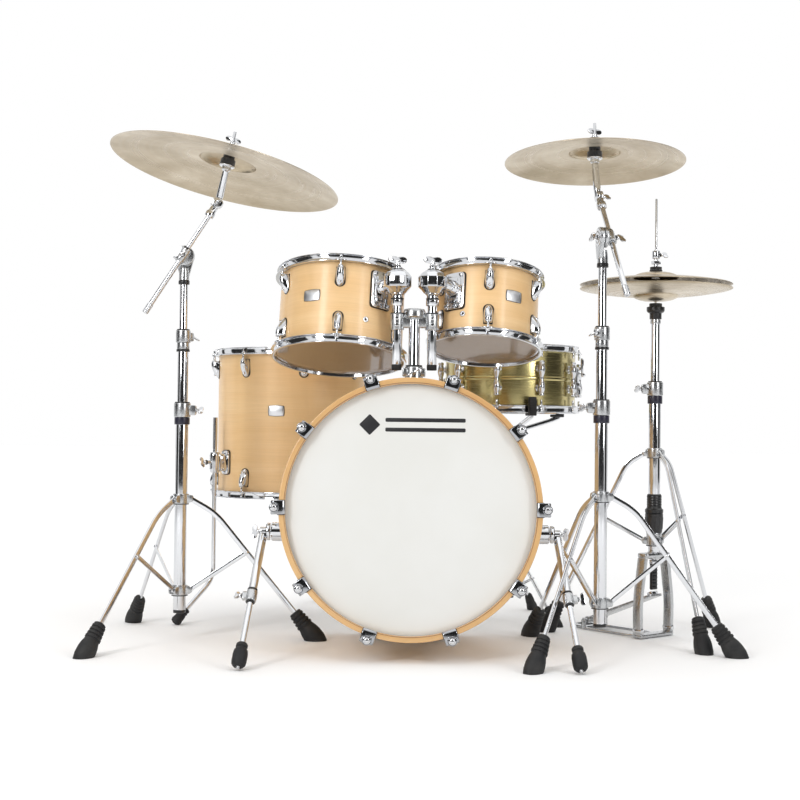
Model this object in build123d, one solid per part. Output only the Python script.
from build123d import *
import math
import os

# Acoustic drum kit: five drums, two boom cymbal stands and a hi-hat stand.
# Millimetres, +Z up. While it is being built, X = 0 is the bass drum's axis, Y = 0 is the middle of the
# bass drum's depth, +Y points at the drummer and Z = 0 is the floor. The last step moves the whole kit
# so that the origin is the bottom centre of its bounding box.

# ---- bass drum, 22 x 16 inch
BASS_RADIUS = 279.4
BASS_DEPTH = 406.0
BASS_PLY = 7.0
BASS_TILT = 5.0            # the front is raised by the spurs
BASS_CENTRE_Z = 319.2
BASS_HOOP_RADIUS = 293.5
BASS_HOOP_WIDTH = 38.0
BASS_HOOP_PROUD = 20.0     # how far a hoop stands past the shell's edge
BASS_ROD_RADIUS = 303.0
BASS_LUGS_PER_SIDE = 10

# ---- wooden toms and the brass snare drum: radius, depth, lugs per side
TOM_PLY = 6.0
LEFT_TOM_RADIUS, LEFT_TOM_DEPTH, LEFT_TOM_LUGS = 152.4, 203.0, 6
RIGHT_TOM_RADIUS, RIGHT_TOM_DEPTH, RIGHT_TOM_LUGS = 127.0, 178.0, 6
FLOOR_TOM_RADIUS, FLOOR_TOM_DEPTH, FLOOR_TOM_LUGS = 203.2, 381.0, 8
SNARE_RADIUS, SNARE_DEPTH, SNARE_LUGS = 177.8, 165.0, 10
SNARE_WALL = 1.6
HOOP_PROUD = 8.0           # metal hoop above the shell's edge
ROD_OFFSET = 13.5          # tension rod outside the shell's face
ROD_RADIUS = 3.0

# ---- where the drums stand
LEFT_TOM_FOOT = (-177.0, 99.0, 681.0)
LEFT_TOM_LEAN = (12.5, 2.0)
RIGHT_TOM_FOOT = (175.6, 70.0, 705.0)
RIGHT_TOM_LEAN = (13.0, 2.7)
FLOOR_TOM_CENTRE = (-320.0, 520.0, 526.5)
SNARE_CENTRE = (276.0, 534.0, 653.0)

# ---- floor tom legs and snare fittings
FLOOR_LEG_TURNS = (-145.0, -11.0, 80.0)
FLOOR_LEG_RADIUS = 238.0
FLOOR_LEG_FOOT = 340.0
FLOOR_BRACKET_DROP = 105.0
STRAINER_TURN = -15.0
LEVER_PIVOT = (SNARE_RADIUS + 17.0, 0.0, 14.0)
BASKET_HUB_Z = 486.0
BASKET_TURNS = (-78.0, 42.0, 162.0)

# ---- double tom holder
POST_X, POST_Y = 5.0, -30.0
POST_RADIUS = 13.0
POST_BOTTOM, POST_TOP = 500.0, 790.0
ARM_X = (-36.0, 47.0)
ARM_RADIUS = 11.0
ARM_BOTTOM = 654.0
BALL_Z = 863.0
BALL_RADIUS = 18.0
HOLDER_BLOCK_Z = 590.0     # underside of the block that carries the post
CLAMP_Z = 752.0            # underside of the cross clamp that carries both arms
MOUNT_TURNS = (-51.0, -129.0)   # mount plates on the left and right tom, between two lugs

# ---- tripod stands: centre, foot radius, leg directions, pivot and brace heights
RIDE_CENTRE, RIDE_FEET, RIDE_TURN = (-556.0, 80.0), 335.0, 0.0
CRASH_CENTRE, CRASH_FEET, CRASH_TURN = (440.0, -82.0), 316.0, -4.5
HIHAT_CENTRE, HIHAT_FEET, HIHAT_TURN = (616.0, 205.0), 275.0, -75.0
SNARE_STAND_FEET, SNARE_STAND_TURN = 205.0, -55.0
RIDE_PIVOT_Z, CRASH_PIVOT_Z, HIHAT_PIVOT_Z, SNARE_PIVOT_Z = 340.0, 364.0, 462.0, 190.0
BRACE_Z, HIHAT_BRACE_Z, SNARE_BRACE_Z = 119.0, 242.0, 84.0
LEG_WIDTH, LEG_THICK = 13.0, 5.0

# ---- telescoping stand tubes: outer radius and wall, lower to upper
BASE_TUBE, MID_TUBE, TOP_TUBE = 15.0, 12.7, 10.0
RIDE_TUBE_TOPS = (572.0, 749.0)
CRASH_TUBE_TOPS = (586.0, 756.0)
SNARE_TUBE_TOP = 345.0
HIHAT_TUBE_TOP = 640.0
SLIDE_GAP = 0.3
BOOM_RADIUS = 6.35

# ---- cymbals: radius, centre of the rim plane, lean toward +Y and +X
RIDE_RADIUS, RIDE_RIM, RIDE_LEAN = 279.4, (-455.0, 40.0, 1125.0), (5.6, 12.0)
CRASH_RADIUS, CRASH_RIM, CRASH_LEAN = 215.9, (435.0, 30.0, 1159.0), (4.3, 0.0)
HAT_RADIUS = 190.5
HAT_RIM_Z = 877.0
HAT_GAP = 9.0
RIDE_BELL, CRASH_BELL, HAT_BELL = 70.0, 62.0, 58.0
RIDE_RISE, CRASH_RISE, HAT_RISE = 52.0, 44.0, 30.0
CYMBAL_THICK = 2.0

# ---- booms: clamp height, direction round the stand, rise, reach behind and before the clamp
RIDE_BOOM = (931.0, 0.0, 57.3, 171.0, 150.0)
CRASH_BOOM = (965.0, 99.4, 49.9, 190.0, 145.0)
BOOM_OFFSET = 19.0         # the rod passes beside the stand
CYMBAL_POST, CYMBAL_POST_GROOVE = 4.0, 3.2
POST_FREE_MID = 48.0       # middle of the cymbal post's free end, above the cymbal's bell
POST_FREE = 14.0

# ---- hi-hat: tubes, pull rod and pedal
PEDAL_TURN = 130.0         # the heel points at the drummer
PEDAL_LENGTH = 205.0
PEDAL_TOE = (HIHAT_CENTRE[0], HIHAT_CENTRE[1], 100.0)
PEDAL_HINGE_Z = 26.0
PEDAL_SLOPE = math.degrees(math.asin((PEDAL_TOE[2] - PEDAL_HINGE_Z) / PEDAL_LENGTH))
PULL_ROD, PULL_ROD_GROOVE = 3.0, 2.3
GROOVE_WIDTH = 3.0         # turned groove below the free end of a post or rod
PULL_ROD_TOP, PULL_FREE = 1105.0, 100.0
HAT_TUBE = 11.0

# ---- spurs
SPUR_PIVOT = (334.0, -127.0, 278.0)
SPUR_FOOT = (362.0, -350.0, 16.0)

UPRIGHT = (Align.CENTER, Align.CENTER, Align.MIN)
LIE_RADIAL = (Align.MIN, Align.CENTER, Align.CENTER)
ON_FLOOR = (Align.MIN, Align.CENTER, Align.MIN)


# ------------------------------------------------------------------ general shapes

def bar(start, end, radius, inner=0.0):
    """Round bar or tube between two points."""
    span = Vector(*end) - Vector(*start)
    body = Cylinder(radius, span.length, align=UPRIGHT)
    if inner:
        body -= Cylinder(inner, span.length, align=UPRIGHT)
    return Plane(origin=start, z_dir=span).location * body


def turned(outline):
    """Solid turned about Z from a closed outline of (radius, height) points."""
    face = make_face(Plane.XZ * Polyline(*outline, close=True))
    return revolve(face, Axis.Z)


def groove(radius, inner, top):
    """Ring to cut from a rod, just below top."""
    ring = Cylinder(radius + 1, GROOVE_WIDTH, align=UPRIGHT) - Cylinder(inner, GROOVE_WIDTH, align=UPRIGHT)
    return Pos(0, 0, top - GROOVE_WIDTH) * ring


def flat_bar(points, width, thick):
    """Flat bar standing in the XZ plane along a chain of (radius, height) points, with round joints."""
    body = None
    for (x0, z0), (x1, z1) in zip(points, points[1:]):
        length = math.hypot(x1 - x0, z1 - z0)
        turn = math.degrees(math.atan2(z1 - z0, x1 - x0))
        piece = Pos(x0, 0, z0) * Rot(0, -turn, 0) * Box(length, thick, width, align=LIE_RADIAL)
        for x, z in ((x0, z0), (x1, z1)):
            piece += Pos(x, 0, z) * Rot(90, 0, 0) * Cylinder(width / 2, thick)
        body = piece if body is None else body + piece
    return body


def group(pieces):
    """Separate solids that make one node."""
    return Compound([solid for piece in pieces for solid in piece.solids()])


def around(count, start, radius, height, piece, turn_over=False):
    """Copies of a piece built at the shell's face, +X outward, placed round a drum."""
    flip = Rot(180, 0, 0) if turn_over else Rot(0, 0, 0)
    step = 360.0 / count
    return [Rot(0, 0, start + step * i) * Pos(radius, 0, height) * flip * piece for i in range(count)]


def leaning(foot, lean):
    """Location at a foot point with Z leaning by the given angles toward +Y and +X."""
    toward_y, toward_x = (math.tan(math.radians(angle)) for angle in lean)
    return Plane(origin=foot, x_dir=(1, 0, -toward_x), z_dir=(toward_x, toward_y, 1)).location


def wing_nut(height=18.0, span=30.0):
    """Wing nut on +Z: hub and two flat wings."""
    hub = Cylinder(6, height * 0.6, align=UPRIGHT)
    wings = Pos(0, 0, height * 0.3) * Box(span, 3, height * 0.7, align=UPRIGHT)
    return hub + wings


# ------------------------------------------------------------------ drums, built on Z with the middle at 0

def drum_shell(radius, depth, ply):
    """Open tube with bearing edges at both ends."""
    half = depth / 2
    edge = 1.5
    slope = ply - edge
    return turned([(radius, half - edge), (radius - edge, half), (radius - ply, half - slope),
                   (radius - ply, slope - half), (radius - edge, -half), (radius, edge - half)])


def drum_head(radius, depth):
    """Head film with its collar and flesh hoop, on the upper edge."""
    top = depth / 2
    return turned([(0, top + 0.1), (0, top + 1.0), (radius + 1.2, top + 1.0), (radius + 1.2, top - 4),
                   (radius + 5.4, top - 4), (radius + 5.4, top - 10), (radius + 0.4, top - 10),
                   (radius + 0.4, top + 0.1)])


def metal_hoop(radius, depth, lugs, start):
    """Triple-flanged hoop round the upper edge, with an ear for each tension rod."""
    top = depth / 2
    ring = turned([(radius + 2.0, top - 3.8), (radius + 6.0, top - 3.8), (radius + 6.0, top - 11),
                   (radius + 15.5, top - 11), (radius + 15.5, top - 9), (radius + 8.3, top - 9),
                   (radius + 8.3, top + 5.5), (radius + 13.0, top + 5.5), (radius + 13.0, top + HOOP_PROUD),
                   (radius + 6.0, top + HOOP_PROUD), (radius + 6.0, top - 1.8), (radius + 2.0, top - 1.8)])
    ear = Pos(8.0, 0, -11) * Box(12.0, 24.0, 3.0, align=ON_FLOOR)
    hole = Pos(ROD_OFFSET, 0, -12) * Cylinder(ROD_RADIUS + 0.6, 6, align=UPRIGHT)
    for piece in around(lugs, start, radius, top, ear):
        ring += piece
    for piece in around(lugs, start, radius, top, hole):
        ring -= piece
    return ring


def tension_rod(depth, lug_top):
    """Key rod from its square head above the hoop's ear down into the lug."""
    top = depth / 2
    rod = Pos(ROD_OFFSET, 0, lug_top + 0.2) * Cylinder(ROD_RADIUS, top - 8 - lug_top, align=UPRIGHT)
    washer = Pos(ROD_OFFSET, 0, top - 7.9) * Cylinder(4.9, 3, align=UPRIGHT)
    key = Pos(ROD_OFFSET, 0, top - 5) * Box(5.5, 5.5, 9, align=UPRIGHT)
    return rod + washer + key


def drop_lug(radius, length=46.0, width=23.0):
    """Single lug: a drop-shaped casting whose round mouth takes the rod, on a base plate."""
    mouth = width / 2 - 1.5
    drop = turned([(0, 0), (mouth - 1, 0), (mouth, -2), (mouth, -length * 0.35), (mouth * 0.8, -length * 0.65),
                   (mouth * 0.45, -length * 0.9), (0, -length)])
    base = Pos(-4, 0, -length + width / 2) * Box(14, width, length - width / 2, align=ON_FLOOR)
    base += Pos(-4, 0, -length + width / 2) * Rot(0, 90, 0) * Cylinder(width / 2, 14, align=UPRIGHT)
    lug = Pos(ROD_OFFSET, 0, 0) * drop + base
    return lug - Pos(-radius, 0, -length) * Cylinder(radius, 3 * length)


def tom_lugs(radius, depth, lugs, start, gap=24.0):
    """Lugs and tension rods of both heads."""
    lug_top = depth / 2 - gap
    lug = drop_lug(radius)
    rod = tension_rod(depth, lug_top)
    pieces = around(lugs, start, radius, lug_top, lug)
    pieces += around(lugs, start, radius, -lug_top, lug, turn_over=True)
    pieces += around(lugs, start, radius, 0, rod)
    pieces += around(lugs, start, radius, 0, rod, turn_over=True)
    return pieces


def both_ends(piece):
    """A piece at the upper end and its twin at the lower end."""
    return [piece, mirror(piece, about=Plane.XY)]


def wooden_drum(radius, depth, lugs, start):
    """Shell, heads, hoops and lugs of a tom."""
    shell = drum_shell(radius, depth, TOM_PLY)
    return {"shell": shell, "heads": group(both_ends(drum_head(radius, depth))),
            "hoops": group(both_ends(metal_hoop(radius, depth, lugs, start))),
            "lugs": group(tom_lugs(radius, depth, lugs, start))}


# ------------------------------------------------------------------ bass drum

def bass_frame():
    """Local Z is the drum's axis toward the audience, local Y is up."""
    tilt = Rot(-BASS_TILT, 0, 0)
    return Pos(0, 0, BASS_CENTRE_Z) * tilt * Rot(90, 0, 0)


def bass_hoop():
    """Wooden hoop whose front lip holds the head's flesh hoop."""
    edge = BASS_DEPTH / 2
    front = edge + BASS_HOOP_PROUD
    inside = BASS_RADIUS + 6.2
    return turned([(BASS_RADIUS + 0.1, front), (BASS_HOOP_RADIUS - 2, front), (BASS_HOOP_RADIUS, front - 2),
                   (BASS_HOOP_RADIUS, front - BASS_HOOP_WIDTH), (inside, front - BASS_HOOP_WIDTH),
                   (inside, edge + 3), (BASS_RADIUS + 0.1, edge + 3)])


def bass_head():
    """Bass drum head: film and flesh hoop."""
    edge = BASS_DEPTH / 2
    inner = BASS_RADIUS + 0.6
    outer = BASS_RADIUS + 5.8
    return turned([(0, edge + 0.1), (0, edge + 1.2), (inner + 0.4, edge + 1.2), (inner + 0.4, edge + 2.5),
                   (outer, edge + 2.5), (outer, edge - 8), (inner, edge - 8), (inner, edge + 0.1)])


def bass_claw():
    """Claw hooked over the hoop's front, bored for the key rod; built at radius 0, +X outward."""
    front = BASS_DEPTH / 2 + BASS_HOOP_PROUD
    inner, outer = BASS_HOOP_RADIUS - 15, BASS_HOOP_RADIUS + 17
    face = make_face(Plane.XZ * Polyline((inner, front + 0.3), (inner, front + 3), (inner + 4, front + 6),
                                         (outer, front + 6), (outer, front - 14), (outer - 4, front - 22),
                                         (BASS_HOOP_RADIUS + 0.5, front - 22), (BASS_HOOP_RADIUS + 0.5, front + 0.3),
                                         close=True))
    claw = extrude(face, 16, both=True)
    return claw - Pos(BASS_ROD_RADIUS, 0, front - 30) * Cylinder(4.0, 60, align=UPRIGHT)


def bass_rod(lug_face):
    """Key rod from its head on the claw to the lug."""
    front = BASS_DEPTH / 2 + BASS_HOOP_PROUD + 6.1
    rod = Pos(BASS_ROD_RADIUS, 0, lug_face + 0.2) * Cylinder(3.2, front - lug_face, align=UPRIGHT)
    flange = Pos(BASS_ROD_RADIUS, 0, front) * Cylinder(6.5, 3, align=UPRIGHT)
    key = Pos(BASS_ROD_RADIUS, 0, front + 2.9) * Box(6, 6, 6, align=UPRIGHT)
    return rod + flange + key


def bass_lug(length=60.0, width=26.0):
    """Bass drum lug, from the mouth at 0 down to -length; built at radius 0, +X outward."""
    reach = BASS_ROD_RADIUS - BASS_RADIUS
    mouth = 11.0
    drop = turned([(0, 0), (mouth - 1, 0), (mouth, -2), (mouth, -length * 0.4), (mouth * 0.7, -length * 0.75),
                   (0, -length)])
    base = Pos(-4, 0, -length) * Box(reach + 2, width, length, align=ON_FLOOR)
    lug = Pos(reach, 0, 0) * drop + base
    return Pos(BASS_RADIUS, 0, 0) * (lug - Pos(-BASS_RADIUS, 0, -length) * Cylinder(BASS_RADIUS, 3 * length))


def bass_drum():
    """All of the bass drum, in the kit's frame."""
    lug_face = BASS_DEPTH / 2 - 48
    start = 90 + 18
    shell = drum_shell(BASS_RADIUS, BASS_DEPTH, BASS_PLY)
    lug = Pos(0, 0, lug_face) * bass_lug()
    rod = bass_rod(lug_face)
    claw = bass_claw()
    count = BASS_LUGS_PER_SIDE
    sides = (False, True)
    pieces = {
        "bass_shell": shell,
        "bass_hoops": group(both_ends(bass_hoop())),
        "bass_heads": group(both_ends(bass_head())),
        "bass_lugs": group([one for over in sides for one in around(count, start, 0, 0, lug, over)]
                           + [one for over in sides for one in around(count, start, 0, 0, rod, over)]),
        "bass_claws": group([one for over in sides for one in around(count, start, 0, 0, claw, over)]),
    }
    placed = {name: bass_frame() * piece for name, piece in pieces.items()}
    placed["bass_shell"] -= Pos(POST_X, POST_Y, POST_BOTTOM) * Cylinder(POST_RADIUS + 4, 200, align=UPRIGHT)
    return placed


def tom_mount_base():
    """Block saddled on the bass shell that clamps the holder's post."""
    block = Pos(POST_X, POST_Y, HOLDER_BLOCK_Z) * Box(64, 70, 46, align=UPRIGHT)
    block += Pos(POST_X, POST_Y, HOLDER_BLOCK_Z + 40) * Cylinder(21, 32, align=UPRIGHT)
    block += Pos(POST_X, POST_Y - 20, HOLDER_BLOCK_Z + 58) * Rot(90, 0, 0) * Cylinder(5, 16, align=UPRIGHT)
    block += Pos(POST_X, POST_Y - 36, HOLDER_BLOCK_Z + 58) * Box(26, 3, 12)
    block -= bass_frame() * Cylinder(BASS_RADIUS + 0.1, BASS_DEPTH)
    bore = Cylinder(POST_RADIUS + SLIDE_GAP, 140, align=UPRIGHT)
    return block - Pos(POST_X, POST_Y, HOLDER_BLOCK_Z - 30) * bore


# ------------------------------------------------------------------ spurs

def spur_axis():
    """Unit vector from the right spur's pivot to its foot."""
    return (Vector(*SPUR_FOOT) - Vector(*SPUR_PIVOT)).normalized()


def spur_bracket():
    """Right-hand bracket: a saddle on the shell and a round boss that carries the spur's pivot."""
    x, y, z = SPUR_PIVOT
    saddle = Pos(250, y, z) * Box(50, 46, 66, align=LIE_RADIAL)
    boss = Pos(280, y, z) * Rot(0, 90, 0) * Cylinder(22, 36, align=UPRIGHT)
    shape = saddle + boss
    shape -= bass_frame() * Cylinder(BASS_RADIUS + 0.1, BASS_DEPTH)
    return shape - Pos(290, y, z) * Rot(0, 90, 0) * Cylinder(5.3, 40, align=UPRIGHT)


def spur_tube():
    """Right spur's outer tube with its hub, pivot bolt and wing knob."""
    x, y, z = SPUR_PIVOT
    start = Vector(*SPUR_PIVOT)
    axis = spur_axis()
    end = start + axis * 190
    tube = bar(start, end, 9.5) + Pos(x - 15.4, y, z) * Rot(0, 90, 0) * Cylinder(20, 8, align=UPRIGHT)
    tube += bar(start + axis * 165, start + axis * 190, 11.5)
    tube -= bar(start + axis * 30, end + axis, BOOM_RADIUS + SLIDE_GAP)
    tube += Pos(x - 32, y, z) * Rot(0, 90, 0) * Cylinder(5, 24, align=UPRIGHT)
    tube += Pos(x + 8, y, z) * Rot(0, 90, 0) * wing_nut(16, 34)
    return tube


def spur_rod():
    """Right spur's inner rod and its round rubber foot."""
    axis = spur_axis()
    start = Vector(*SPUR_PIVOT) + axis * 115
    tip = Vector(*SPUR_FOOT)
    rod = bar(start, tip - axis * 12, BOOM_RADIUS)
    foot = Pos(*SPUR_FOOT) * Sphere(16) + bar(tip - axis * 26, tip, 15)
    return group([rod, foot - rod])


# ------------------------------------------------------------------ tom holder and tom mounts

def tom_holder_post():
    """Centre post and the cross clamp that holds both arm tubes."""
    post = Pos(POST_X, POST_Y, POST_BOTTOM) * Cylinder(POST_RADIUS, POST_TOP - POST_BOTTOM, align=UPRIGHT)
    post += Pos(POST_X, POST_Y, CLAMP_Z + 26) * Cylinder(26, 22, align=UPRIGHT)
    cross_bar = Box(ARM_X[1] - ARM_X[0], 20, 30, align=UPRIGHT)
    post += Pos((ARM_X[0] + ARM_X[1]) / 2, POST_Y, CLAMP_Z) * cross_bar
    for x in ARM_X:
        post += Pos(x, POST_Y, CLAMP_Z - 4) * Cylinder(17, 38, align=UPRIGHT)
        post += Pos(x, POST_Y + 15, CLAMP_Z + 15) * Rot(-90, 0, 0) * Cylinder(6, 9, align=UPRIGHT)
        post -= Pos(x, POST_Y, CLAMP_Z - 12) * Cylinder(ARM_RADIUS + SLIDE_GAP, 60, align=UPRIGHT)
    return post


def tom_place(foot, lean, depth):
    """Location of a rack tom's middle from the middle of its lower hoop."""
    return leaning(foot, lean) * Pos(0, 0, depth / 2 + HOOP_PROUD)


def ball_point(arm_x):
    """Centre of an arm's ball clamp."""
    return Vector(arm_x, POST_Y, BALL_Z)


def ball_inside(place, arm_x, turn):
    """An arm's ball in the frame of a tom's mount plate: the plate's middle is on +X."""
    return ((place * Rot(0, 0, turn)).inverse() * Pos(*ball_point(arm_x))).position


def plate_point(radius, place, arm_x, turn):
    """Middle of the mount plate, in the kit's frame."""
    height = ball_inside(place, arm_x, turn).Z - 10
    return (place * Rot(0, 0, turn) * Pos(radius, 0, height)).position


def tom_arm(radius, place, arm_x, turn):
    """Arm tube with its ball-clamp housing, open on the tom's side, and the wing bolt on top."""
    ball = ball_point(arm_x)
    arm = Pos(arm_x, POST_Y, ARM_BOTTOM) * Cylinder(ARM_RADIUS, BALL_Z - 20 - ARM_BOTTOM, align=UPRIGHT)
    arm += Pos(arm_x, POST_Y, 806) * Cylinder(15, 24, align=UPRIGHT)
    housing = turned([(0, -30), (18, -30), (24, -20), (33, -14), (33, 12), (24, 22), (14, 27), (0, 27)])
    facets = extrude(RegularPolygon(35, 10), 60, both=True)
    arm += Pos(*ball) * (housing & facets)
    arm += Pos(arm_x, POST_Y, BALL_Z + 26) * Cylinder(8, 14, align=UPRIGHT)
    arm += Pos(arm_x, POST_Y, BALL_Z + 38) * wing_nut(26, 48)
    arm -= Pos(*ball) * Sphere(BALL_RADIUS + 0.6)
    toward = plate_point(radius, place, arm_x, turn) - ball
    heading = math.degrees(math.atan2(toward.Y, toward.X))
    slot = Pos(*ball) * Rot(0, 0, heading) * Box(60, 26, 38, align=LIE_RADIAL)
    return arm - slot


def tom_mount(radius, place, arm_x, turn):
    """Curved plate on the tom's shell, its boss, the rod and the ball held by the arm."""
    ball = ball_inside(place, arm_x, turn)
    plate = Pos(radius - 12, 0, 0) * Box(26, 58, 92, align=LIE_RADIAL)
    plate -= Cylinder(radius + 0.1, 200)
    plate &= Cylinder(radius + 9, 200)
    boss = Pos(radius + 4, 0, 6) * Box(16, 34, 34, align=LIE_RADIAL)
    plate += boss - Cylinder(radius + 4, 200)
    shape = Pos(0, 0, ball.Z - 10) * plate
    shape += bar((radius + 12, 0, ball.Z - 5), ball, 6.0)
    shape += Pos(*ball) * Sphere(BALL_RADIUS)
    return place * Rot(0, 0, turn) * shape


# ------------------------------------------------------------------ floor tom legs and snare fittings

def floor_tom_leg():
    """Bent leg, standing at +X of the floor tom's axis."""
    upper, bend, foot = (FLOOR_LEG_RADIUS, 0, 540), (FLOOR_LEG_RADIUS, 0, 116), (FLOOR_LEG_FOOT, 0, 14)
    return bar(upper, bend, 6.0) + Pos(*bend) * Sphere(6.0) + bar(bend, foot, 6.0)


def floor_tom_foot():
    """Rubber foot on the leg's end."""
    axis = Vector(FLOOR_LEG_FOOT - FLOOR_LEG_RADIUS, 0, -102).normalized()
    end = Vector(FLOOR_LEG_FOOT, 0, 14)
    boot = bar(end - axis * 34, end, 12.0) + Pos(*end) * Sphere(14)
    return boot


def floor_tom_brackets():
    """Leg brackets on the shell, bored for the legs, with a wing bolt each; about the floor tom's axis."""
    body = Pos(FLOOR_TOM_RADIUS - 10, 0, 0) * Box(36, 40, 62, align=LIE_RADIAL)
    body += Pos(FLOOR_LEG_RADIUS, 0, 0) * Cylinder(14, 54)
    body -= Cylinder(FLOOR_TOM_RADIUS + 0.1, 200)
    body -= Pos(FLOOR_LEG_RADIUS, 0, 0) * Cylinder(6.0 + SLIDE_GAP, 80)
    screw = Pos(FLOOR_LEG_RADIUS + 13, 0, 0) * Rot(0, 90, 0) * Cylinder(4.5, 14, align=UPRIGHT)
    screw += Pos(FLOOR_LEG_RADIUS + 26, 0, 0) * Rot(0, 90, 0) * wing_nut(14, 28)
    return [Rot(0, 0, turn) * Pos(0, 0, -FLOOR_BRACKET_DROP) * (body + screw) for turn in FLOOR_LEG_TURNS]


def snare_shell():
    """Brass shell with a raised bead round the middle."""
    half = SNARE_DEPTH / 2
    radius, inner = SNARE_RADIUS, SNARE_RADIUS - SNARE_WALL
    return turned([(radius, -half), (radius, -5), (radius + 2, -2.5), (radius + 2, 2.5), (radius, 5),
                   (radius, half), (inner - 8, half), (inner - 8, half - 1.6), (inner, half - 1.6),
                   (inner, 1.6 - half), (inner - 8, 1.6 - half), (inner - 8, -half)])


def snare_lugs(start):
    """Double-ended lugs and their rods."""
    lug_half = 46.0
    upper = [(0, lug_half), (7, lug_half), (8.5, lug_half - 8), (8.5, lug_half - 20), (5.5, lug_half - 32)]
    waist = turned(upper + [(radius, -height) for radius, height in reversed(upper)])
    lug = Pos(ROD_OFFSET, 0, 0) * waist
    for height in (-28, 28):
        lug += Pos(0, 0, height) * Rot(0, 90, 0) * Cylinder(6, ROD_OFFSET, align=UPRIGHT)
    lug -= Pos(-SNARE_RADIUS, 0, 0) * Cylinder(SNARE_RADIUS + 0.1, 200)
    rod = tension_rod(SNARE_DEPTH, lug_half)
    pieces = around(SNARE_LUGS, start, SNARE_RADIUS, 0, lug)
    pieces += around(SNARE_LUGS, start, SNARE_RADIUS, 0, rod)
    pieces += around(SNARE_LUGS, start, SNARE_RADIUS, 0, rod, turn_over=True)
    return pieces


def snare_strainer():
    """Strainer body on the shell and the butt plate opposite; +X is the strainer's side."""
    body = Pos(SNARE_RADIUS - 6, 0, -6) * Box(16, 30, 84, align=LIE_RADIAL)
    body += Pos(SNARE_RADIUS + 6, 0, -34) * Box(12, 24, 24, align=LIE_RADIAL)
    body -= Cylinder(SNARE_RADIUS + 2.2, 200)
    butt = Pos(-SNARE_RADIUS - 16, 0, -20) * Box(22, 30, 50, align=LIE_RADIAL)
    butt -= Cylinder(SNARE_RADIUS + 2.2, 200)
    return group([body, butt])


def snare_lever():
    """Throw-off lever beside the strainer, hinged on a cross pin."""
    x, y, z = LEVER_PIVOT
    lever = Pos(x, 0, z - 4) * Box(7, 14, 52, align=UPRIGHT)
    lever += Pos(x + 3.5, 0, z) * Rot(90, 0, 0) * Cylinder(5.5, 22)
    return lever


def snare_wires():
    """Band of coiled snare wires under the lower head, with an end plate at each side."""
    low = -SNARE_DEPTH / 2 - 3.2
    wire = Rot(0, 90, 0) * Cylinder(0.9, 2 * (SNARE_RADIUS - 36))
    wires = [Pos(0, -36 + 4 * i, low) * wire for i in range(19)]
    plates = [Pos(side * (SNARE_RADIUS - 28), 0, low) * Box(15.8, 78, 2.2) for side in (-1, 1)]
    return group(wires + plates)


def snare_basket():
    """Three-armed basket with its hub, tilted on the post; about the snare's axis, Z from the floor."""
    hub = Pos(0, 0, BASKET_HUB_Z + 14) * Cylinder(24, 22, align=UPRIGHT)
    hub += Pos(0, -7, BASKET_HUB_Z - 12) * Box(26, 8, 30, align=UPRIGHT)
    arms = []
    tips = []
    drum_bottom = SNARE_CENTRE[2] - SNARE_DEPTH / 2 - HOOP_PROUD
    outer = SNARE_RADIUS + 22
    for turn in BASKET_TURNS:
        path = [(22, BASKET_HUB_Z + 26), (outer - 30, drum_bottom - 18), (outer + 6, drum_bottom - 8),
                (outer + 8, drum_bottom + 16)]
        arm = flat_bar(path, 11, 9)
        pad = Pos(outer - 24, 0, drum_bottom - 9.0) * Box(38, 20, 8.5, align=ON_FLOOR)
        pad += Pos(outer, 0, drum_bottom - 9.0) * Box(15, 20, 50, align=ON_FLOOR)
        arms.append(Rot(0, 0, turn) * arm)
        tips.append(Rot(0, 0, turn) * (pad - arm))
    for arm in arms:
        hub += arm
    return Pos(SNARE_CENTRE[0], SNARE_CENTRE[1], 0) * group([hub] + tips)


def snare_stand_post():
    """Post that slides in the base tube and carries the basket's tilter ear."""
    post = Pos(0, 0, 190) * Cylinder(MID_TUBE - 2.5, BASKET_HUB_Z - 16 - 190, align=UPRIGHT)
    post += Pos(0, 6.5, BASKET_HUB_Z - 26) * Box(26, 12, 36, align=UPRIGHT)
    post += Pos(0, 12.5, BASKET_HUB_Z) * Rot(-90, 0, 0) * Cylinder(13, 14, align=UPRIGHT)
    return Pos(SNARE_CENTRE[0], SNARE_CENTRE[1], 0) * post


# ------------------------------------------------------------------ tripods and stand tubes

def boot(tip_radius, slope, size=1.0):
    """Ribbed rubber boot whose axis meets the floor at tip_radius, cut flat on the floor."""
    length = 88.0 * size
    outline = [(0, 0), (14 * size, 0), (15.5 * size, 6 * size)]
    for rib in range(6):
        low = (10 + 11 * rib) * size
        wide = (17.5 + 1.2 * rib) * size
        groove = wide - 2.5 * size
        outline += [(wide, low), (wide, low + 7 * size), (groove, low + 8 * size), (groove, low + 10 * size)]
    outline += [(25 * size, 78 * size), (25 * size, length + 30 * size), (0, length + 30 * size)]
    axis = Vector(math.cos(slope), 0, -math.sin(slope))
    top = Vector(tip_radius, 0, 0) - axis * length
    shape = Plane(origin=top, z_dir=axis).location * turned(outline)
    below_floor = Pos(tip_radius, 0, -200) * Box(400, 400, 200, align=UPRIGHT)
    return shape - below_floor


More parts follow.
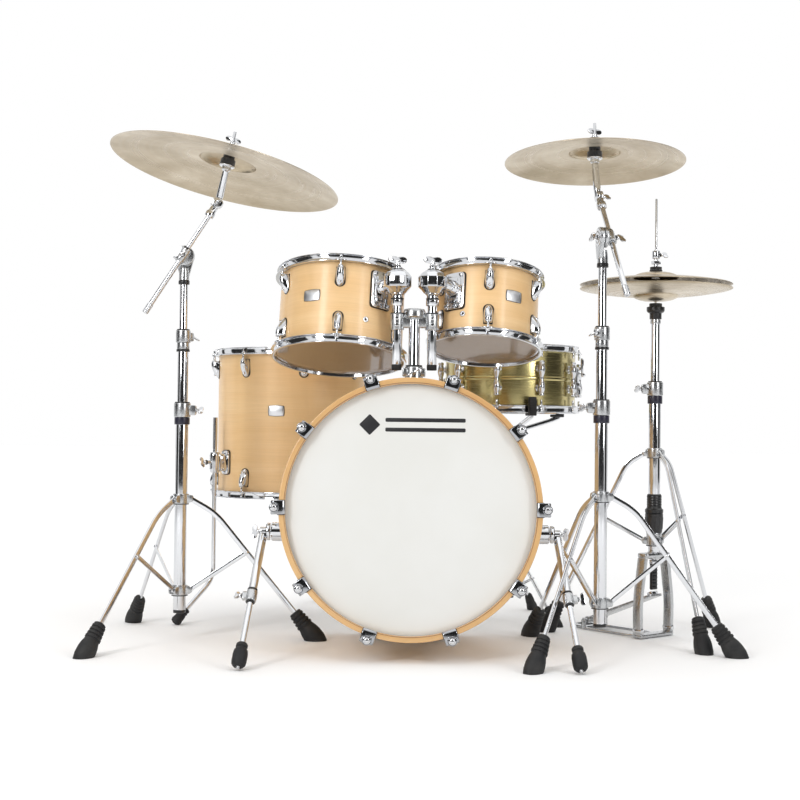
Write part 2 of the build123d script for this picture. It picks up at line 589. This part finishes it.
def tripod(centre, foot_radius, turn, pivot_z, brace_z, size=1.0):
    """Legs, braces and boots of a folding tripod."""
    inside = BASE_TUBE + 8
    bend = (foot_radius * 0.25, pivot_z - foot_radius * 0.1)
    slope = math.atan2(bend[1], foot_radius - bend[0])
    stop = 44.0 * size
    end = (foot_radius - stop * math.cos(slope), stop * math.sin(slope))
    joint = (bend[0] + 0.31 * (foot_radius - bend[0]), bend[1] * 0.69)
    leg = flat_bar([(inside, pivot_z), bend, end], LEG_WIDTH * size, LEG_THICK)
    brace = Pos(0, LEG_THICK / 2 + 1.9, 0) * flat_bar([(inside, brace_z), joint], LEG_WIDTH * size - 2, 3.0)
    rubber = boot(foot_radius, slope, size) - leg
    spins = [Pos(centre[0], centre[1], 0) * Rot(0, 0, turn + 120 * i) for i in range(3)]
    return [[spin * piece for spin in spins] for piece in (leg, brace, rubber)]


def collar(radius, low, high):
    """Clamp ring round a stand tube."""
    return Pos(0, 0, low) * Cylinder(radius, high - low, align=UPRIGHT)


def clamp_screw(tube, height):
    """Wing screw of a clamp collar, on the -X side."""
    screw = Pos(-tube - 4, 0, height) * Rot(0, -90, 0) * Cylinder(4.0, 14, align=UPRIGHT)
    return screw + Pos(-tube - 17, 0, height) * Rot(0, -90, 0) * wing_nut(14, 28)


def leg_collar(tube, height, turn):
    """Collar with three pairs of ears that hold the leg pivots."""
    ring = Pos(0, 0, height) * Cylinder(tube + 4, 26)
    for i in range(3):
        for side in (-1, 1):
            ear = Pos(tube, side * 9.0, height) * Box(16, 3.0, 20, align=LIE_RADIAL)
            ring += Rot(0, 0, turn + 120 * i) * ear
    return ring


def base_tube(low, high, pivot_z, brace_z, turn):
    """Lowest tube of a stand, with its leg collars and the clamp collar at the top."""
    shape = Pos(0, 0, low) * Cylinder(BASE_TUBE, high - low, align=UPRIGHT)
    shape += leg_collar(BASE_TUBE, pivot_z, turn) + leg_collar(BASE_TUBE, brace_z, turn)
    shape += collar(BASE_TUBE + 5, high - 34, high) + clamp_screw(BASE_TUBE, high - 17)
    return shape - Pos(0, 0, low + 6) * Cylinder(MID_TUBE + SLIDE_GAP, high, align=UPRIGHT)


def sliding_tube(outer, low, high, inner):
    """Tube that slides in the one below and takes the next one, with its own clamp collar."""
    shape = Pos(0, 0, low) * Cylinder(outer, high - low, align=UPRIGHT)
    shape += collar(outer + 5, high - 30, high) + clamp_screw(outer, high - 15)
    return shape - Pos(0, 0, low - 1) * Cylinder(inner, high, align=UPRIGHT)


def boom_stand(centre, feet, turn, pivot_z, tops, boom):
    """Tripod, mid tube and upper tube of a boom stand; the upper tube ends in half a toothed clamp."""
    clamp_z, boom_turn = boom[:2]
    base_top, mid_top = tops
    legs, braces, boots = tripod(centre, feet, turn, pivot_z, BRACE_Z)
    at = Pos(centre[0], centre[1], 0)
    base = at * base_tube(70, base_top, pivot_z, BRACE_Z, turn)
    mid = at * sliding_tube(MID_TUBE, base_top - 230, mid_top, TOP_TUBE + SLIDE_GAP)
    low = mid_top - 190
    upper = Pos(0, 0, low) * Cylinder(TOP_TUBE, clamp_z - 26 - low, align=UPRIGHT)
    upper += collar(12.5, clamp_z - 62, clamp_z - 26)
    upper += Pos(0, 1, clamp_z - 30) * Box(22, 11, 30, align=(Align.CENTER, Align.MIN, Align.MIN))
    upper += Pos(0, 12, clamp_z) * Rot(90, 0, 0) * Cylinder(24, 11, align=UPRIGHT)
    return {"tripod": group([base] + legs + braces), "boots": boots, "mid_tube": mid,
            "upper_tube": at * Rot(0, 0, boom_turn) * upper}


# ------------------------------------------------------------------ booms, tilters and cymbals

def boom_frame(centre, boom):
    """Local X runs out along the boom on the level, the clamp's axis is local Y, the clamp is at 0."""
    return Pos(centre[0], centre[1], boom[0]) * Rot(0, 0, boom[1])


def boom_direction(boom):
    rise = math.radians(boom[2])
    return Vector(math.cos(rise), 0, math.sin(rise))


def tilter_pivot(centre, boom):
    """Hinge point of the tilter, in the kit's frame."""
    point = Vector(0, -BOOM_OFFSET, 0) + boom_direction(boom) * boom[4]
    return (boom_frame(centre, boom) * Pos(*point)).position


def boom_clamp(centre, boom):
    """Moving half of the clamp: a toothed disc, the bored block for the rod and a wing bolt."""
    along = Plane(origin=(0, -BOOM_OFFSET, 0), z_dir=boom_direction(boom)).location
    shape = Pos(0, 0.4, 0) * Rot(90, 0, 0) * Cylinder(24, 9.4, align=UPRIGHT)
    shape += along * Cylinder(11, 34)
    shape += Pos(0, -BOOM_OFFSET - 9, 0) * Rot(90, 0, 0) * Cylinder(5, 12, align=UPRIGHT)
    shape += Pos(0, -BOOM_OFFSET - 19, 0) * Rot(90, 0, 0) * wing_nut(16, 46)
    shape -= along * Cylinder(BOOM_RADIUS + SLIDE_GAP, 120)
    return boom_frame(centre, boom) * shape


def boom_rod(centre, boom):
    """Boom rod with a knurled grip behind and a half-lapped eye in front for the tilter."""
    direction = boom_direction(boom)
    axis_point = Vector(0, -BOOM_OFFSET, 0)
    rear, front = axis_point - direction * boom[3], axis_point + direction * boom[4]
    rod = bar(rear, front - direction * 13, BOOM_RADIUS)
    rod += bar(rear, rear + direction * 26, BOOM_RADIUS + 1.6)
    lap = Plane(origin=front - direction * 24, x_dir=(0, 1, 0), z_dir=direction).location
    rod += lap * Pos(-3.3, 0, 0) * Box(6, 13, 24, align=UPRIGHT)
    rod += Pos(*front) * Pos(0, -0.3, 0) * Rot(90, 0, 0) * Cylinder(11, 6, align=UPRIGHT)
    return boom_frame(centre, boom) * rod


def tilter(centre, boom, place, rise):
    """Cymbal tilter: lapped eye, post, sleeve with its cup and felts, and the wing nut on top."""
    frame = boom_frame(centre, boom)
    pivot = Vector(0, -BOOM_OFFSET, 0) + boom_direction(boom) * boom[4]
    neck = (frame.inverse() * place * Pos(0, 0, rise - 38)).position
    level = Vector(neck.X - pivot.X, 0, neck.Z - pivot.Z).normalized()
    eye = Pos(*pivot) * Pos(0, 0.3, 0) * Rot(-90, 0, 0) * Cylinder(11, 6, align=UPRIGHT)
    lap = Plane(origin=pivot, x_dir=(0, 1, 0), z_dir=level).location
    eye += lap * Pos(3.8, 0, 0) * Box(5, 13, 24, align=UPRIGHT)
    eye += bar(pivot + level * 17, neck, 6.5)
    post = place.inverse() * (frame * eye)
    post += Pos(0, 0, rise - 42) * Cylinder(9, 10, align=UPRIGHT)
    free_low = rise + POST_FREE_MID - POST_FREE / 2
    post += Pos(0, 0, rise - 36) * Cylinder(CYMBAL_POST, free_low + POST_FREE - rise + 36, align=UPRIGHT)
    post -= groove(CYMBAL_POST, CYMBAL_POST_GROOVE, free_low)
    rings = [(18.0, rise - 31.5, 16.0), (14.0, rise - 15.2, 13.0), (15.0, rise + 6.0, 12.0)]
    pieces = [post]
    for radius, low, height in rings:
        washer = Cylinder(radius, height, align=UPRIGHT)
        pieces.append(Pos(0, 0, low) * (washer - Cylinder(CYMBAL_POST, 99)))
    pieces.append(Pos(0, 0, rise + 18.4) * (wing_nut(20, 40) - Cylinder(CYMBAL_POST, 99)))
    return [place * piece for piece in pieces]


def cymbal(radius, bell_radius, rise, hole=6.0):
    """Thin dish: a shallow bow with a bell, bored at the centre; the rim's lower edge is at 0."""
    bow = rise * 0.55
    under = [(radius, 0.0), (radius * 0.66, bow * 0.52), (bell_radius + 4, bow), (bell_radius * 0.86, bow + 5),
             (bell_radius * 0.5, rise - 3), (19, rise), (hole, rise)]
    upper = [(r, z + CYMBAL_THICK) for r, z in reversed(under[1:])]
    return turned(under + upper + [(radius, 0.8)])


# ------------------------------------------------------------------ hi-hat

def pedal_frame():
    """Local -X runs from the hinge up to the toe on the level; the hinge is at 0."""
    reach = PEDAL_LENGTH * math.cos(math.radians(PEDAL_SLOPE))
    return Pos(PEDAL_TOE[0], PEDAL_TOE[1], PEDAL_HINGE_Z) * Rot(0, 0, PEDAL_TURN) * Pos(reach, 0, 0)


def hihat_base():
    """Cast arch, spring housing, main tube, legs and the pedal's heel plate."""
    legs, braces, boots = tripod(HIHAT_CENTRE, HIHAT_FEET, HIHAT_TURN, HIHAT_PIVOT_Z, HIHAT_BRACE_Z)
    at = Pos(HIHAT_CENTRE[0], HIHAT_CENTRE[1], 0)
    tube = base_tube(212, HIHAT_TUBE_TOP, HIHAT_PIVOT_Z, HIHAT_BRACE_Z, HIHAT_TURN)
    tube -= Cylinder(PULL_ROD + 2, 600)
    housing = Pos(0, 0, 262) * (Cylinder(21, 96, align=UPRIGHT) - Cylinder(BASE_TUBE + 0.2, 300))
    top = Pos(0, 0, 200) * (Box(96, 34, 11.8, align=UPRIGHT) - Cylinder(PULL_ROD + 3, 99))
    posts = [flat_bar([(side * 42, 192), (side * 60, 90), (side * 58, 18)], 13, 24) for side in (-1, 1)]
    bottom = Pos(0, 0, 2) * Box(128, 30, 9, align=UPRIGHT)
    arch = [at * Rot(0, 0, PEDAL_TURN + 90) * piece for piece in [top, bottom] + posts]
    heel = Pos(0, 0, -PEDAL_HINGE_Z) * Box(66, 78, 9, align=ON_FLOOR)
    for side in (-1, 1):
        heel += Pos(0, side * 42, -PEDAL_HINGE_Z) * Box(12, 6, 32, align=ON_FLOOR)
        heel += Pos(-140, side * 42, -PEDAL_HINGE_Z) * Box(150, 6, 6, align=ON_FLOOR)
    heel += Rot(90, 0, 0) * Cylinder(3.5, 86)
    return group([at * tube, at * housing] + arch + legs + braces + [pedal_frame() * heel]), boots


def hihat_footboard():
    """Tapered pedal board from its hinge barrel to the toe."""
    heel_end = -PEDAL_LENGTH - 12
    board = make_face(Polyline((-6, -36), (heel_end, -26), (heel_end, 26), (-6, 36), close=True))
    shape = extrude(board, 6) + Rot(90, 0, 0) * Cylinder(8, 72)
    shape -= Rot(90, 0, 0) * Cylinder(3.9, 120)
    return pedal_frame() * Rot(0, PEDAL_SLOPE, 0) * shape


def hihat_pull_rod():
    """Pull rod with the strap's end plate below; the strap hangs to the pedal's toe."""
    free_low = PULL_ROD_TOP - PULL_FREE
    rod = Pos(0, 0, 190) * Cylinder(PULL_ROD, PULL_ROD_TOP - 190, align=UPRIGHT)
    rod -= groove(PULL_ROD, PULL_ROD_GROOVE, free_low)
    strap = Pos(0, 0, 117) * Box(9, 16, 74, align=UPRIGHT)
    return Pos(HIHAT_CENTRE[0], HIHAT_CENTRE[1], 0) * (rod + strap)


def hihat_upper_tube():
    """Sliding tube with the lower cymbal's seat."""
    shape = Pos(0, 0, 400) * Cylinder(HAT_TUBE, 405, align=UPRIGHT)
    shape += Pos(0, 0, 800) * Cylinder(20, 30, align=UPRIGHT)
    shape += Pos(0, 0, 830) * Cylinder(14, 10, align=UPRIGHT)
    return Pos(HIHAT_CENTRE[0], HIHAT_CENTRE[1], 0) * (shape - Cylinder(PULL_ROD + 2, 2000))


def hihat_clutch():
    """Clutch on the pull rod: sleeve through the upper cymbal, felts and wing screw."""
    low = HAT_RIM_Z + HAT_GAP + HAT_RISE
    sleeve = Pos(0, 0, low - 12) * Cylinder(5.5, 70, align=UPRIGHT)
    sleeve += Pos(0, 0, low + 22) * Cylinder(12, 8, align=UPRIGHT)
    sleeve += Pos(0, 0, low + 36) * Cylinder(10, 20, align=UPRIGHT)
    sleeve += Pos(-9, 0, low + 46) * Rot(0, -90, 0) * wing_nut(20, 26)
    sleeve += Pos(0, 0, low - 14) * Cylinder(11, 7, align=UPRIGHT)
    sleeve -= Cylinder(PULL_ROD + 0.3, 2500)
    felts = [Pos(0, 0, low + bottom) * (Cylinder(16, 6.6, align=UPRIGHT) - Cylinder(5.5, 60))
             for bottom in (-6.8, CYMBAL_THICK + 0.2, CYMBAL_THICK + 7.0)]
    return Pos(HIHAT_CENTRE[0], HIHAT_CENTRE[1], 0) * group([sleeve] + felts)


def hihat_cymbals():
    """Upper cymbal bell up, lower cymbal bell down."""
    at = Pos(HIHAT_CENTRE[0], HIHAT_CENTRE[1], 0)
    dish = cymbal(HAT_RADIUS, HAT_BELL, HAT_RISE)
    upper = at * Pos(0, 0, HAT_RIM_Z + HAT_GAP) * dish
    lower = at * Pos(0, 0, HAT_RIM_Z) * mirror(dish, about=Plane.XY)
    return upper, lower


# ------------------------------------------------------------------ the kit

def mirrored(shape):
    """Left-hand twin of a right-hand piece."""
    return mirror(shape, about=Plane.YZ)


LEFT_TOM = tom_place(LEFT_TOM_FOOT, LEFT_TOM_LEAN, LEFT_TOM_DEPTH)
RIGHT_TOM = tom_place(RIGHT_TOM_FOOT, RIGHT_TOM_LEAN, RIGHT_TOM_DEPTH)
FLOOR_TOM = Pos(*FLOOR_TOM_CENTRE)
SNARE = Pos(*SNARE_CENTRE)
RIDE_PLACE = leaning(RIDE_RIM, RIDE_LEAN)
CRASH_PLACE = leaning(CRASH_RIM, CRASH_LEAN)


def build_kit():
    """Every node of the kit, by name, in the building frame."""
    kit = bass_drum()
    kit["bass_shell_brackets"] = group([spur_bracket(), mirrored(spur_bracket()), tom_mount_base()])
    kit["right_spur_tube"] = spur_tube()
    kit["right_spur_rod"] = spur_rod()
    kit["left_spur_tube"] = mirrored(spur_tube())
    kit["left_spur_rod"] = mirrored(spur_rod())
    kit["tom_holder_post"] = tom_holder_post()

    toms = {"left": (LEFT_TOM_RADIUS, LEFT_TOM_DEPTH, LEFT_TOM_LUGS, LEFT_TOM, ARM_X[0], MOUNT_TURNS[0]),
            "right": (RIGHT_TOM_RADIUS, RIGHT_TOM_DEPTH, RIGHT_TOM_LUGS, RIGHT_TOM, ARM_X[1], MOUNT_TURNS[1])}
    for side, (radius, depth, lugs, place, arm_x, turn) in toms.items():
        for name, piece in wooden_drum(radius, depth, lugs, -90).items():
            kit[f"{side}_tom_{name}"] = place * piece
        kit[f"{side}_tom_arm"] = tom_arm(radius, place, arm_x, turn)
        kit[f"{side}_tom_mount"] = tom_mount(radius, place, arm_x, turn)

    for name, piece in wooden_drum(FLOOR_TOM_RADIUS, FLOOR_TOM_DEPTH, FLOOR_TOM_LUGS, -123).items():
        kit[f"floor_tom_{name}"] = FLOOR_TOM * piece
    kit["floor_tom_leg_brackets"] = group([FLOOR_TOM * piece for piece in floor_tom_brackets()])
    standing = Pos(FLOOR_TOM_CENTRE[0], FLOOR_TOM_CENTRE[1], 0)
    turns = [standing * Rot(0, 0, turn) for turn in FLOOR_LEG_TURNS]
    kit["floor_tom_legs"] = group([turn * floor_tom_leg() for turn in turns])
    feet = [turn * (floor_tom_foot() - floor_tom_leg()) for turn in turns]

    snare_head = both_ends(drum_head(SNARE_RADIUS, SNARE_DEPTH))
    snare_hoop = both_ends(metal_hoop(SNARE_RADIUS, SNARE_DEPTH, SNARE_LUGS, -105))
    kit["snare_shell"] = SNARE * snare_shell()
    kit["snare_heads"] = SNARE * group(snare_head)
    kit["snare_hoops"] = SNARE * group(snare_hoop)
    kit["snare_lugs"] = SNARE * group(snare_lugs(-105))
    kit["snare_strainer"] = SNARE * Rot(0, 0, STRAINER_TURN) * snare_strainer()
    kit["snare_lever"] = SNARE * Rot(0, 0, STRAINER_TURN) * snare_lever()
    kit["snare_wires"] = SNARE * Rot(0, 0, STRAINER_TURN) * snare_wires()
    kit["snare_basket"] = snare_basket()
    kit["snare_stand_post"] = snare_stand_post()
    legs, braces, snare_boots = tripod(SNARE_CENTRE, SNARE_STAND_FEET, SNARE_STAND_TURN, SNARE_PIVOT_Z,
                                       SNARE_BRACE_Z, size=0.7)
    tube = base_tube(60, SNARE_TUBE_TOP, SNARE_PIVOT_Z, SNARE_BRACE_Z, SNARE_STAND_TURN)
    kit["snare_stand_base"] = group([Pos(SNARE_CENTRE[0], SNARE_CENTRE[1], 0) * tube] + legs + braces)
    feet += snare_boots

    ride = boom_stand(RIDE_CENTRE, RIDE_FEET, RIDE_TURN, RIDE_PIVOT_Z, RIDE_TUBE_TOPS, RIDE_BOOM)
    crash = boom_stand(CRASH_CENTRE, CRASH_FEET, CRASH_TURN, CRASH_PIVOT_Z, CRASH_TUBE_TOPS, CRASH_BOOM)
    dishes = {"ride": (ride, RIDE_CENTRE, RIDE_BOOM, RIDE_PLACE, RIDE_RADIUS, RIDE_BELL, RIDE_RISE),
              "crash": (crash, CRASH_CENTRE, CRASH_BOOM, CRASH_PLACE, CRASH_RADIUS, CRASH_BELL, CRASH_RISE)}
    for name, (stand, centre, boom, place, radius, bell, rise) in dishes.items():
        feet += stand.pop("boots")
        for part, piece in stand.items():
            kit[f"{name}_{part}"] = piece
        kit[f"{name}_boom_clamp"] = boom_clamp(centre, boom)
        kit[f"{name}_boom_rod"] = boom_rod(centre, boom)
        kit[f"{name}_tilter"] = group(tilter(centre, boom, place, rise))
        kit[f"{name}_cymbal"] = place * cymbal(radius, bell, rise)

    kit["hihat_stand"], hat_boots = hihat_base()
    feet += hat_boots
    kit["stand_feet"] = group(feet)
    kit["hihat_footboard"] = hihat_footboard()
    kit["hihat_pull_rod"] = group([hihat_pull_rod(), hihat_clutch()])
    kit["hihat_upper_tube"] = hihat_upper_tube()
    kit["hihat_top_cymbal"], kit["hihat_bottom_cymbal"] = hihat_cymbals()
    return kit


def kit_shift(kit):
    """Move that puts the bottom centre of the kit's bounding box at the origin."""
    boxes = [piece.bounding_box() for piece in kit.values()]
    low_x, high_x = min(box.min.X for box in boxes), max(box.max.X for box in boxes)
    low_y, high_y = min(box.min.Y for box in boxes), max(box.max.Y for box in boxes)
    return Vector(-(low_x + high_x) / 2, -(low_y + high_y) / 2, 0)


KIT = build_kit()
SHIFT = kit_shift(KIT)
os.makedirs("parts", exist_ok=True)
for node, shape in KIT.items():
    export_step(Pos(*SHIFT) * shape, f"parts/{node}.step")
